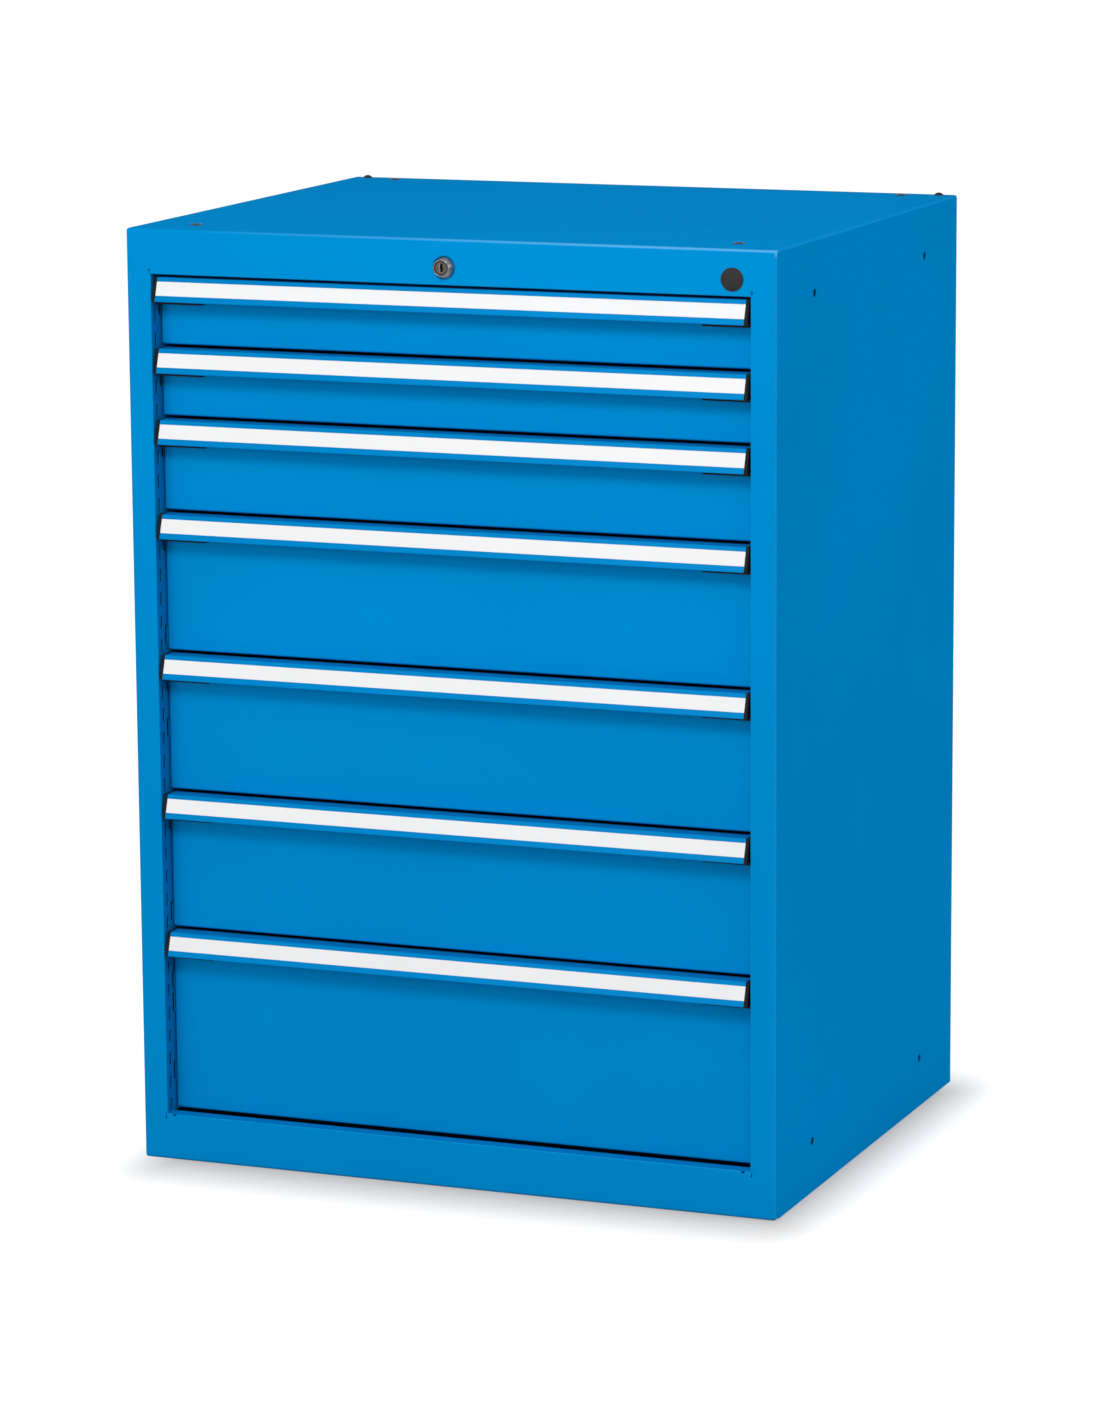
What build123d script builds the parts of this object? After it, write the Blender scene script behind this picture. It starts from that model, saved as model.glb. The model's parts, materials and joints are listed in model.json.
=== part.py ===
from build123d import *
import math
import os

# Workshop drawer cabinet: welded sheet-steel carcass, seven drawers on
# telescopic slides and one lock that holds all of them.
# X runs to the right, Y to the back, Z up; the origin is on the floor,
# in the middle of the carcass. Lengths are millimetres.

# Carcass
cabinet_width = 717.0
cabinet_depth = 600.0
base_rail_height = 50.0
top_rail_height = 47.4
head_gap = 2.6
stile_width = 27.5
carcass_sheet = 1.5
fold_radius = 3.0
rim_depth = 12.0
rear_flange_width = 20.0
base_flange_height = 30.0
rail_return_depth = 16.0
opening_edge_radius = 1.2
back_panel_top_drop = 6.0

# Drawer front heights, each with its share of the gap between fronts
shallow_height = 75.0
low_height = 100.0
middle_height = 150.0
deep_height = 200.0
drawer_heights = (
    shallow_height,
    shallow_height,
    low_height,
    middle_height,
    middle_height,
    middle_height,
    deep_height,
)

# Perforation of the front returns and the rear uprights
hole_pitch = 25.0
slot_length = 14.0
slot_width = 5.0
slot_setback = 10.5
slot_first_rise = 8.0
window_height = 20.5
window_width = 6.0
window_setback = 21.0
window_first_rise = 18.5
window_steps = (1, 4, 5, 8, 12, 16, 18, 20, 24, 28, 31, 34)
relief_radius = 1.0
relief_side_offset = 1.5
relief_rise = 4.5
relief_slit_width = 0.7
notch_side = 4.2
notch_inset = 8.0

# Fixing holes in the side panels
side_hole_radius = 4.5
side_hole_spacing = 365.0
side_hole_end_inset = 55.0

# Drawer front
front_recess = 21.0
front_side_gap = 1.5
front_bottom_gap = 2.4
front_return_depth = 10.0
front_fold_radius = 2.0
drawer_sheet = 1.2

# Handle profile: a sloping label face, a web over the front and a leg on it
handle_top_gap = 0.7
handle_height = 25.3
handle_top_setback = 4.5
handle_toe_reach = 4.0
handle_web = 1.8
handle_leg_drop = 16.0
handle_face_thickness = 2.6
handle_edge_radius = 0.9
upper_lip = 4.6
lower_lip = 6.8
label_groove_depth = 1.0
label_thickness = 0.8
label_clearance = 0.1
end_cap_thickness = 3.8
end_cap_side_gap = 2.2
end_cap_edge_radius = 0.8
tongue_length = 48.0
tongue_height = 3.2
tongue_depth = 7.0
tongue_setback = 11.0

# Drawer tray and slides
slide_space = 23.8
tray_inner_depth = 459.0
tray_bottom_gap = 6.0
tray_top_gap = 15.0
tray_lip_width = 7.0
slide_sheet = 1.5
slide_height = 40.0
slide_rise = 30.0
running_gap = 0.3
flange_tip_gap = 0.6
flange_root_gap = 1.0
mid_rail_end_gap = 15.0
rail_rear_gap = 15.0
rail_seat_length = 22.0
upright_depth = 57.0

# Lock and lock bar
lock_drop = 29.0
collar_radius = 12.0
collar_nose_radius = 9.8
collar_length = 8.0
collar_rim = 1.2
barrel_radius = 9.5
barrel_length = 22.0
barrel_hole_clearance = 0.2
plug_radius = 6.7
plug_recess = 0.6
plug_overhang = 1.0
keyway_width = 1.8
keyway_height = 8.0
keyway_depth = 6.0
tail_side = 6.0
nut_across_flats = 26.0
nut_thickness = 5.0
cam_gap = 1.5
cam_thickness = 3.0
cam_hub_radius = 8.0
cam_end_radius = 4.5
cam_square_clearance = 0.1
pin_radius = 2.5
pin_overhang = 2.0
pin_play = 0.5
lock_travel = 10.0
lock_bar_thickness = 4.0
lock_bar_width = 16.0
lock_bar_start = 8.0
lock_bar_hang = 2.0
lock_strip_width = 10.0
lock_strip_gap = 3.0
lock_tab_height = 12.0
lock_tab_setback = 0.2
lock_play = 2.0
lock_bar_front_gap = 1.0

# Plastic plug in the spare lock hole
plug_hole_radius = 10.0
plug_head_radius = 12.0
plug_head_height = 1.6
plug_stem_length = 8.0
plug_inset = 46.9
plug_drop = 30.5

# Threaded inserts and rear buffers in the top panel
insert_head_radius = 6.5
insert_head_height = 0.8
insert_body_radius = 5.0
insert_length = 14.0
insert_bore_radius = 3.4
insert_side_inset = 57.5
insert_front_inset = 50.0
insert_rear_inset = 23.0
buffer_radius = 5.5
buffer_height = 3.0
buffer_stem_radius = 3.0
buffer_stem_length = 6.0
buffer_side_inset = 18.5
buffer_rear_inset = 10.0
seat_clearance = 0.2

# One overrun carries every cut clear of the sheet that it cuts
overrun = 5.0

# Places worked out from the sizes above
cabinet_height = base_rail_height + sum(drawer_heights) + head_gap + top_rail_height
half_width = cabinet_width / 2
front_y = -cabinet_depth / 2
back_y = cabinet_depth / 2
seam_y = front_y + rim_depth
opening_half = half_width - stile_width
opening_bottom = base_rail_height
opening_top = cabinet_height - top_rail_height
inner_half = half_width - carcass_sheet
rear_face_y = back_y - carcass_sheet
back_panel_y = rear_face_y - carcass_sheet

panel_front_y = front_y + front_recess
panel_back_y = panel_front_y + drawer_sheet
front_half = opening_half - front_side_gap
handle_half = opening_half - end_cap_side_gap - end_cap_thickness

tray_front_y = panel_front_y + front_return_depth
tray_inner_y = tray_front_y + drawer_sheet
tray_back_y = tray_inner_y + tray_inner_depth + drawer_sheet

bar_front_y = tray_inner_y + lock_bar_front_gap
bar_back_y = bar_front_y + lock_bar_thickness
rail_front_y = bar_back_y + lock_play
rail_back_y = back_y - rail_rear_gap
stile_return_depth = rail_front_y + rail_seat_length - front_y
upright_front_y = back_panel_y - upright_depth

tray_half = opening_half - slide_space
tray_front_half = opening_half + lock_tab_setback - lock_travel - lock_play
mid_web_x = (opening_half + tray_half) / 2
flange_tip_reach = slide_sheet / 2 + flange_tip_gap

lock_z = cabinet_height - lock_drop
pin_reach = lock_travel / 2
pin_circle_radius = math.hypot(pin_reach, pin_reach)
cam_front_y = front_y + barrel_length + plug_overhang + cam_gap


def block(low, high, mode=Mode.ADD):
    """A box between its lowest and highest corners."""
    middle = tuple((a + b) / 2 for a, b in zip(low, high))
    size = tuple(b - a for a, b in zip(low, high))
    with Locations(middle):
        Box(*size, mode=mode)


def mirrored_block(low, high, mode=Mode.ADD):
    """The same box at the right and, mirrored, at the left."""
    block(low, high, mode)
    block((-high[0], low[1], low[2]), (-low[0], high[1], high[2]), mode)


def save(piece, name):
    """Label a finished piece and write it under its own name."""
    piece.part.label = name
    export_step(piece.part, f"parts/{name}.step")


def turned(profile, centre_x, centre_z):
    """A solid turned about an axis along Y, from (radius, y) points."""
    with BuildSketch(Plane.XY.offset(centre_z)) as half_section:
        with BuildLine():
            Polyline([(centre_x + radius, y) for radius, y in profile], close=True)
        make_face()
    revolve(half_section.sketch, axis=Axis((centre_x, 0, centre_z), (0, 1, 0)))


def turned_upright(profile, centre_x, centre_y):
    """A solid turned about an upright axis, from (radius, z) points."""
    with BuildSketch(Plane.XZ.offset(-centre_y)) as half_section:
        with BuildLine():
            Polyline([(centre_x + radius, z) for radius, z in profile], close=True)
        make_face()
    revolve(half_section.sketch, axis=Axis((centre_x, centre_y, 0), (0, 0, 1)))


def cut_slots(slot_y):
    """A row of slots cut through the sheets at both sides of the cabinet."""
    slot_count = math.floor((opening_top - opening_bottom) / hole_pitch)
    first_z = opening_bottom + slot_first_rise
    with BuildSketch(Plane.YZ) as slots:
        for step in range(slot_count):
            with Locations((slot_y, first_z + step * hole_pitch)):
                Rectangle(slot_width, slot_length)
    reach = opening_half + carcass_sheet + overrun
    extrude(slots.sketch, amount=reach, both=True, mode=Mode.SUBTRACT)


# Drawer places, top drawer first: number, lower limit and upper limit
drawers = []
upper = opening_top - head_gap
for number, height in enumerate(drawer_heights, start=1):
    drawers.append((number, upper - height, upper))
    upper -= height

os.makedirs("parts", exist_ok=True)

# Front frame: one pressed sheet with a folded rim, stiles and two rails
with BuildPart() as front_frame:
    block((-half_width, front_y, 0), (half_width, seam_y, cabinet_height))
    front_edges = front_frame.faces().sort_by(Axis.Y)[0].edges()
    fillet(front_edges + front_frame.edges().filter_by(Axis.Y), radius=fold_radius)
    offset(amount=-carcass_sheet, openings=front_frame.faces().sort_by(Axis.Y)[-1])
    block(
        (-opening_half, front_y - overrun, opening_bottom),
        (opening_half, front_y + carcass_sheet + overrun, opening_top),
        mode=Mode.SUBTRACT,
    )
    mirrored_block(
        (opening_half, front_y, opening_bottom - carcass_sheet),
        (opening_half + carcass_sheet, front_y + stile_return_depth, opening_top + carcass_sheet),
    )
    for low_z in (opening_bottom - carcass_sheet, opening_top):
        block(
            (-opening_half, front_y, low_z),
            (opening_half, front_y + rail_return_depth, low_z + carcass_sheet),
        )
    opening_edges = front_frame.faces().sort_by(Axis.Y)[0].inner_wires()[0].edges()
    fillet(opening_edges, radius=opening_edge_radius)
    # Slots through both returns
    cut_slots(front_y + slot_setback)
    # Hook windows in the left return
    with BuildSketch(Plane.YZ.offset(-opening_half)):
        for step in window_steps:
            window_z = opening_bottom + window_first_rise + step * hole_pitch
            with Locations((front_y + window_setback, window_z)):
                Rectangle(window_width, window_height)
    extrude(amount=overrun, both=True, mode=Mode.SUBTRACT)
    # Windows in the right return that guide the tabs of the lock bar
    with BuildSketch(Plane.YZ.offset(opening_half)):
        for number, bottom, top in drawers:
            with Locations(((bar_front_y + bar_back_y) / 2, bottom + slide_rise)):
                Rectangle(lock_bar_thickness + 2 * running_gap, lock_tab_height + 2 * running_gap)
    extrude(amount=overrun, both=True, mode=Mode.SUBTRACT)
    # Relief holes and slits at the corners, notches in the base rail, and lock holes
    with BuildSketch(Plane.XZ.offset(-front_y)):
        for side in (-1, 1):
            relief_x = side * (opening_half + relief_side_offset)
            with Locations((relief_x, opening_top + relief_rise), (relief_x, opening_bottom - relief_rise)):
                Circle(relief_radius)
            with Locations(
                (relief_x, opening_top + relief_rise / 2), (relief_x, opening_bottom - relief_rise / 2)
            ):
                Rectangle(relief_slit_width, relief_rise)
            with Locations((side * (opening_half - notch_inset), opening_bottom)):
                Rectangle(notch_side, notch_side, rotation=45)
        with Locations((0, lock_z)):
            Circle(barrel_radius + barrel_hole_clearance)
        with Locations((half_width - plug_inset, cabinet_height - plug_drop)):
            Circle(plug_hole_radius)
    extrude(amount=overrun, both=True, mode=Mode.SUBTRACT)
save(front_frame, "front_frame")

# Side panels: a wall with its rear edge folded inwards
with BuildPart() as right_side_panel:
    block((inner_half, seam_y, 0), (half_width, back_y, cabinet_height - rim_depth))
    block(
        (half_width - rear_flange_width, rear_face_y, 0),
        (half_width, back_y, cabinet_height - rim_depth),
    )
    upright_edges = right_side_panel.edges().filter_by(Axis.Z)
    outer_edge = upright_edges.sort_by_distance((half_width, back_y, cabinet_height / 2))[0]
    inner_edge = upright_edges.sort_by_distance((inner_half, rear_face_y, cabinet_height / 2))[0]
    fillet(outer_edge, radius=fold_radius)
    fillet(inner_edge, radius=fold_radius - carcass_sheet)
    side_hole_height = cabinet_height - 2 * side_hole_end_inset
    with BuildSketch(Plane.YZ.offset(half_width)):
        with Locations((0, cabinet_height / 2)):
            with GridLocations(side_hole_spacing, side_hole_height, 2, 2):
                Circle(side_hole_radius)
    extrude(amount=overrun, both=True, mode=Mode.SUBTRACT)
save(right_side_panel, "right_side_panel")

with BuildPart() as left_side_panel:
    mirror(right_side_panel.part, about=Plane.YZ)
save(left_side_panel, "left_side_panel")

# Top panel: a tray turned upside down, open to the front frame
insert_places = [
    (side * (half_width - insert_side_inset), y)
    for side in (-1, 1)
    for y in (front_y + insert_front_inset, back_y - insert_rear_inset)
]
buffer_places = [
    (side * (half_width - buffer_side_inset), back_y - buffer_rear_inset) for side in (-1, 1)
]
with BuildPart() as top_panel:
    block((-half_width, seam_y, cabinet_height - rim_depth), (half_width, back_y, cabinet_height))
    top_edges = top_panel.faces().sort_by(Axis.Z)[-1].edges().sort_by(Axis.Y)[1:]
    rear_corners = top_panel.edges().filter_by(Axis.Z).sort_by(Axis.Y)[2:]
    fillet(top_edges + rear_corners, radius=fold_radius)
    open_faces = [
        top_panel.faces().sort_by(Axis.Z)[0],
        top_panel.faces().sort_by(Axis.Y)[0],
    ]
    offset(amount=-carcass_sheet, openings=open_faces)
    with BuildSketch(Plane.XY.offset(cabinet_height)):
        with Locations(*insert_places):
            Circle(insert_body_radius + seat_clearance)
        with Locations(*buffer_places):
            Circle(buffer_stem_radius + seat_clearance)
    extrude(amount=overrun, both=True, mode=Mode.SUBTRACT)
save(top_panel, "top_panel")

# Back panel, inside the rear flanges
with BuildPart() as back_panel:
    back_half = inner_half - fold_radius
    block(
        (-back_half, back_panel_y, 0),
        (back_half, rear_face_y, cabinet_height - back_panel_top_drop),
    )
save(back_panel, "back_panel")

# Base panel: a shallow tray that closes the carcass underneath
with BuildPart() as base_panel:
    block((-inner_half, seam_y, 0), (inner_half, back_panel_y, base_flange_height))
    offset(amount=-carcass_sheet, openings=base_panel.faces().sort_by(Axis.Z)[-1])
save(base_panel, "base_panel")

# Rear uprights: angles that carry the back ends of the rails
with BuildPart() as rear_uprights:
    mirrored_block(
        (opening_half, upright_front_y, base_flange_height),
        (opening_half + carcass_sheet, back_panel_y, cabinet_height - rim_depth),
    )
    mirrored_block(
        (opening_half, back_panel_y - carcass_sheet, base_flange_height),
        (inner_half, back_panel_y, cabinet_height - rim_depth),
    )
    cut_slots(upright_front_y + slot_setback)
save(rear_uprights, "rear_uprights")

# Cabinet rails: outer members of the slides, two for each drawer
with BuildPart() as cabinet_rails:
    for number, bottom, top in drawers:
        rail_z = bottom + slide_rise
        mirrored_block(
            (opening_half - slide_sheet, rail_front_y, rail_z - slide_height / 2),
            (opening_half, rail_back_y, rail_z + slide_height / 2),
        )
        for low_z in (rail_z - slide_height / 2, rail_z + slide_height / 2 - slide_sheet):
            mirrored_block(
                (mid_web_x + flange_tip_reach, rail_front_y, low_z),
                (opening_half, rail_back_y, low_z + slide_sheet),
            )
save(cabinet_rails, "cabinet_rails")

# Lock barrel with its polished collar
with BuildPart() as lock_barrel:
    bore_radius = plug_radius + running_gap
    turned(
        [
            (bore_radius, front_y - collar_length),
            (collar_nose_radius, front_y - collar_length),
            (collar_radius, front_y - collar_rim),
            (collar_radius, front_y),
            (barrel_radius, front_y),
            (barrel_radius, front_y + barrel_length),
            (bore_radius, front_y + barrel_length),
        ],
        0,
        lock_z,
    )
save(lock_barrel, "lock_barrel")

# Nut that holds the barrel from behind
with BuildPart() as lock_nut:
    with BuildSketch(Plane.XZ.offset(-front_y - carcass_sheet)):
        with Locations((0, lock_z)):
            RegularPolygon(nut_across_flats / 2, 6, major_radius=False)
            Circle(barrel_radius + barrel_hole_clearance, mode=Mode.SUBTRACT)
    extrude(amount=-nut_thickness)
save(lock_nut, "lock_nut")

# Lock plug with keyway and square tail
plug_face_y = front_y - collar_length + plug_recess
plug_end_y = front_y + barrel_length + plug_overhang
with BuildPart() as lock_plug:
    with BuildSketch(Plane.XZ.offset(-plug_face_y)):
        with Locations((0, lock_z)):
            Circle(plug_radius)
    extrude(amount=plug_face_y - plug_end_y)
    block(
        (-tail_side / 2, plug_end_y, lock_z - tail_side / 2),
        (tail_side / 2, cam_front_y + cam_thickness, lock_z + tail_side / 2),
    )
    block(
        (-keyway_width / 2, plug_face_y - overrun, lock_z - keyway_height / 2),
        (keyway_width / 2, plug_face_y + keyway_depth, lock_z + keyway_height / 2),
        mode=Mode.SUBTRACT,
    )
save(lock_plug, "lock_plug")

# Cam on the tail, with the pin that shifts the lock bar
with BuildPart() as lock_cam:
    with BuildSketch(Plane.XZ.offset(-cam_front_y)):
        with BuildLine():
            CenterArc((0, lock_z), cam_hub_radius, 0, 360)
            CenterArc((pin_reach, lock_z + pin_reach), cam_end_radius, 0, 360)
        make_hull()
        with Locations((0, lock_z)):
            Rectangle(
                tail_side + 2 * cam_square_clearance,
                tail_side + 2 * cam_square_clearance,
                mode=Mode.SUBTRACT,
            )
    extrude(amount=-cam_thickness)
    with BuildSketch(Plane.XZ.offset(-cam_front_y - cam_thickness)):
        with Locations((pin_reach, lock_z + pin_reach)):
            Circle(pin_radius)
    extrude(amount=cam_front_y + cam_thickness - bar_back_y - pin_overhang)
save(lock_cam, "lock_cam")

# Lock bar: a strip behind the top rail, an upright strip beside the right
# stile and one tab for each drawer, at rest with the tabs drawn back
strip_right = inner_half - lock_strip_gap
strip_left = strip_right - lock_strip_width
strip_bottom_z = drawers[-1][1] + slide_rise - lock_tab_height / 2
bar_low_z = lock_z - lock_bar_hang
with BuildPart() as lock_bar:
    block(
        (-lock_bar_start, bar_front_y, bar_low_z),
        (strip_right, bar_back_y, bar_low_z + lock_bar_width),
    )
    block((strip_left, bar_front_y, strip_bottom_z), (strip_right, bar_back_y, bar_low_z))
    for number, bottom, top in drawers:
        tab_z = bottom + slide_rise
        block(
            (opening_half + lock_tab_setback, bar_front_y, tab_z - lock_tab_height / 2),
            (strip_left, bar_back_y, tab_z + lock_tab_height / 2),
        )
    block(
        (
            pin_reach - pin_radius - pin_play,
            bar_front_y - overrun,
            lock_z + pin_reach - pin_radius - pin_play,
        ),
        (
            pin_reach + pin_radius + pin_play,
            bar_back_y + overrun,
            lock_z + pin_circle_radius + pin_radius + pin_play,
        ),
        mode=Mode.SUBTRACT,
    )
save(lock_bar, "lock_bar")

# Plastic plug in the spare lock hole
with BuildPart() as hole_plug:
    stem_radius = plug_hole_radius - seat_clearance
    turned(
        [
            (0, front_y - plug_head_height),
            (plug_head_radius - plug_head_height, front_y - plug_head_height),
            (plug_head_radius, front_y - plug_head_height / 2),
            (plug_head_radius, front_y),
            (stem_radius, front_y),
            (stem_radius, front_y + plug_stem_length),
            (0, front_y + plug_stem_length),
        ],
        half_width - plug_inset,
        cabinet_height - plug_drop,
    )
save(hole_plug, "hole_plug")

# Threaded inserts in the top panel
with BuildPart() as top_inserts:
    for x, y in insert_places:
        turned_upright(
            [
                (insert_bore_radius, cabinet_height + insert_head_height),
                (insert_head_radius, cabinet_height + insert_head_height),
                (insert_head_radius, cabinet_height),
                (insert_body_radius, cabinet_height),
                (insert_body_radius, cabinet_height - insert_length),
                (insert_bore_radius, cabinet_height - insert_length),
            ],
            x,
            y,
        )
save(top_inserts, "top_inserts")

# Domed plastic buffers at the rear corners of the top
with BuildPart() as rear_buffers:
    stem_end_z = cabinet_height - buffer_stem_length
    for x, y in buffer_places:
        with BuildSketch(Plane.XZ.offset(-y)):
            with BuildLine():
                Polyline(
                    (x, cabinet_height + buffer_height),
                    (x, stem_end_z),
                    (x + buffer_stem_radius, stem_end_z),
                    (x + buffer_stem_radius, cabinet_height),
                    (x + buffer_radius, cabinet_height),
                )
                TangentArc(
                    (x, cabinet_height + buffer_height),
                    (x + buffer_radius, cabinet_height),
                    tangent=(1, 0),
                )
            make_face()
        revolve(axis=Axis((x, y, 0), (0, 0, 1)))
save(rear_buffers, "rear_buffers")


def handle_points(top):
    """A function that places points on the sloping label face below a drawer's top limit."""
    crest = Vector(front_y + handle_top_setback, top - handle_top_gap)
    toe = Vector(front_y - handle_toe_reach, top - handle_top_gap - handle_height)
    down = (toe - crest).normalized()
    inward = Vector(-down.Y, down.X)

    def place(along, depth):
        point = crest + down * along + inward * depth
        return (point.X, point.Y)

    return place


def extruded(outline, low_x, high_x):
    """A prism along X with an outline of (y, z) points."""
    with BuildSketch(Plane.YZ.offset(low_x)) as section:
        with BuildLine():
            Polyline(outline, close=True)
        make_face()
    extrude(section.sketch, amount=high_x - low_x)


def make_drawer(number, bottom, top):
    """Build and write the pieces of one drawer."""
    name = f"drawer_{number}"
    rail_z = bottom + slide_rise
    crest_z = top - handle_top_gap
    seat_z = crest_z - handle_web
    toe_z = crest_z - handle_height
    toe_y = front_y - handle_toe_reach
    slope = math.hypot(handle_top_setback + handle_toe_reach, handle_height)
    slope_run_share = (handle_top_setback + handle_toe_reach) / slope
    slope_fall_share = handle_height / slope
    place = handle_points(top)

    # Front: a pressed panel with its four edges folded back
    with BuildPart() as front:
        block(
            (-front_half, panel_front_y, bottom + front_bottom_gap),
            (front_half, panel_front_y + front_return_depth, seat_z),
        )
        face_edges = front.faces().sort_by(Axis.Y)[0].edges().sort_by(Axis.Z)[:-1]
        lower_corners = front.edges().filter_by(Axis.Y).sort_by(Axis.Z)[:2]
        fillet(face_edges + lower_corners, radius=front_fold_radius)
        offset(amount=-drawer_sheet, openings=front.faces().sort_by(Axis.Y)[-1])
    save(front, f"{name}_front")

    # Tray: its front wall backs the hollow front as far as the lock's tab leaves room, and the
    # inner slide members run along its sides
    with BuildPart() as tray:
        block(
            (-tray_half, tray_front_y, bottom + tray_bottom_gap),
            (tray_half, tray_back_y, top - tray_top_gap),
        )
        offset(amount=-drawer_sheet, openings=tray.faces().sort_by(Axis.Z)[-1])
        block(
            (-tray_front_half, tray_front_y, bottom + front_bottom_gap),
            (tray_front_half, tray_inner_y, top - tray_top_gap),
        )
        mirrored_block(
            (tray_half, tray_inner_y, top - tray_top_gap - drawer_sheet),
            (tray_half + tray_lip_width, tray_back_y, top - tray_top_gap),
        )
        mirrored_block(
            (tray_half, rail_front_y, rail_z - slide_height / 2),
            (tray_half + slide_sheet, tray_back_y, rail_z + slide_height / 2),
        )
        for low_z in (rail_z - slide_height / 2, rail_z + slide_height / 2 - slide_sheet):
            mirrored_block(
                (tray_half, rail_front_y, low_z),
                (mid_web_x - flange_tip_reach, tray_back_y, low_z + slide_sheet),
            )
    save(tray, f"{name}_tray")

    # Middle slide members
    with BuildPart() as mid_rails:
        mid_half_height = slide_height / 2 - slide_sheet - running_gap
        mid_back_y = rail_back_y - mid_rail_end_gap
        mirrored_block(
            (mid_web_x - slide_sheet / 2, rail_front_y, rail_z - mid_half_height),
            (mid_web_x + slide_sheet / 2, mid_back_y, rail_z + mid_half_height),
        )
        for low_z in (rail_z - mid_half_height, rail_z + mid_half_height - slide_sheet):
            mirrored_block(
                (tray_half + slide_sheet + flange_root_gap, rail_front_y, low_z),
                (opening_half - slide_sheet - flange_root_gap, mid_back_y, low_z + slide_sheet),
            )
        # Lug on the right-hand member, which the lock bar's tab stands in front of
        block(
            (mid_web_x, rail_front_y, rail_z - lock_tab_height / 2),
            (
                opening_half - slide_sheet - flange_root_gap,
                rail_front_y + slide_sheet,
                rail_z + lock_tab_height / 2,
            ),
        )
    save(mid_rails, f"{name}_mid_rails")

    # Handle profile, drawn from the crest round the label groove and the toe
    back_offset_share = slope_run_share / slope_fall_share
    toe_back_along = slope - handle_face_thickness * back_offset_share
    web_along = (handle_web - handle_face_thickness * slope_run_share) / slope_fall_share
    with BuildPart() as handle:
        extruded(
            [
                place(0, 0),
                place(upper_lip, 0),
                place(upper_lip, label_groove_depth),
                place(slope - lower_lip, label_groove_depth),
                place(slope - lower_lip, 0),
                place(slope, 0),
                place(toe_back_along, handle_face_thickness),
                place(web_along, handle_face_thickness),
                (panel_front_y - handle_web, seat_z),
                (panel_front_y - handle_web, crest_z - handle_leg_drop),
                (panel_front_y, crest_z - handle_leg_drop),
                (panel_front_y, seat_z),
                (panel_back_y, seat_z),
                (panel_back_y, crest_z),
            ],
            -handle_half,
            handle_half,
        )
        long_edges = handle.edges().filter_by(Axis.X)
        soft_edges = [
            long_edges.sort_by_distance((0, *point))[0]
            for point in (place(0, 0), place(slope, 0), place(toe_back_along, handle_face_thickness))
        ]
        fillet(soft_edges, radius=handle_edge_radius)
    save(handle, f"{name}_handle")

    # Label strip in the groove
    with BuildPart() as label:
        extruded(
            [
                place(upper_lip + label_clearance, label_groove_depth),
                place(slope - lower_lip - label_clearance, label_groove_depth),
                place(slope - lower_lip - label_clearance, label_groove_depth - label_thickness),
                place(upper_lip + label_clearance, label_groove_depth - label_thickness),
            ],
            -handle_half,
            handle_half,
        )
    save(label, f"{name}_label")

    # End caps with their tongues under the toe of the handle
    with BuildPart() as end_caps:
        for low_x in (-handle_half - end_cap_thickness, handle_half):
            extruded(
                [place(0, 0), place(slope, 0), (panel_front_y, toe_z), (panel_front_y, crest_z)],
                low_x,
                low_x + end_cap_thickness,
            )
        end_faces = end_caps.faces().sort_by(Axis.X)
        fillet(end_faces[0].edges() + end_faces[-1].edges(), radius=end_cap_edge_radius)
        mirrored_block(
            (handle_half - tongue_length, toe_y + tongue_setback, toe_z - tongue_height),
            (
                handle_half + end_cap_thickness,
                toe_y + tongue_setback + tongue_depth,
                toe_z,
            ),
        )
    save(end_caps, f"{name}_end_caps")


for number, bottom, top in drawers:
    make_drawer(number, bottom, top)
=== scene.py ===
import json
import math

import bmesh
import bpy
from mathutils import Matrix, Vector


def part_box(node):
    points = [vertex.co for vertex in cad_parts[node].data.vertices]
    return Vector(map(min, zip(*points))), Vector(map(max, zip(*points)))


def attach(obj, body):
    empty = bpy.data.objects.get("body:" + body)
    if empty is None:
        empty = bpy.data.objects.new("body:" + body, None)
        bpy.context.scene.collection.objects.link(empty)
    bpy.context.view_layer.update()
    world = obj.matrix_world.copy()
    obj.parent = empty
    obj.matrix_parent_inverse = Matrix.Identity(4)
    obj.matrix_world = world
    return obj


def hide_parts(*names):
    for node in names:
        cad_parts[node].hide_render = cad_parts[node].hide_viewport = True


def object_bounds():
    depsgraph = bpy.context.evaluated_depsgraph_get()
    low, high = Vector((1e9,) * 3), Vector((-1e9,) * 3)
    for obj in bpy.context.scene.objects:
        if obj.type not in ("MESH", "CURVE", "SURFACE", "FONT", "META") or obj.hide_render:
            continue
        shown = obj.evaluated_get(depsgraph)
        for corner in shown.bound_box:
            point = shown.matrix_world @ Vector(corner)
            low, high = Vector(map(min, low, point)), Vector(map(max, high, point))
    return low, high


# Looks, light and camera for a workshop drawer cabinet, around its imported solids.
# Metres, +X to the right, +Y to the back, +Z up, with the floor at zero.

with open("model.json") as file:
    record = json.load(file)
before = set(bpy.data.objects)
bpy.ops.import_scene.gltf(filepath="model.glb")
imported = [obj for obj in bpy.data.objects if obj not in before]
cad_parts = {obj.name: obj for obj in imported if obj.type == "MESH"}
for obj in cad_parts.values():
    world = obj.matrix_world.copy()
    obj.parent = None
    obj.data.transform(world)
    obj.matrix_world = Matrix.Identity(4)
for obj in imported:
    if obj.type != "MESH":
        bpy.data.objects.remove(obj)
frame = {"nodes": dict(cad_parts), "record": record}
for leftover in ("Cube", "Light", "Camera"):
    if leftover in bpy.data.objects:
        bpy.data.objects.remove(bpy.data.objects[leftover])
cad_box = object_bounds()
carcass_low, carcass_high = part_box("front_frame")
lock_low, lock_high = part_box("lock_barrel")
lock_centre = (lock_low + lock_high) / 2
barrel_length = lock_high.y - lock_low.y

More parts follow.
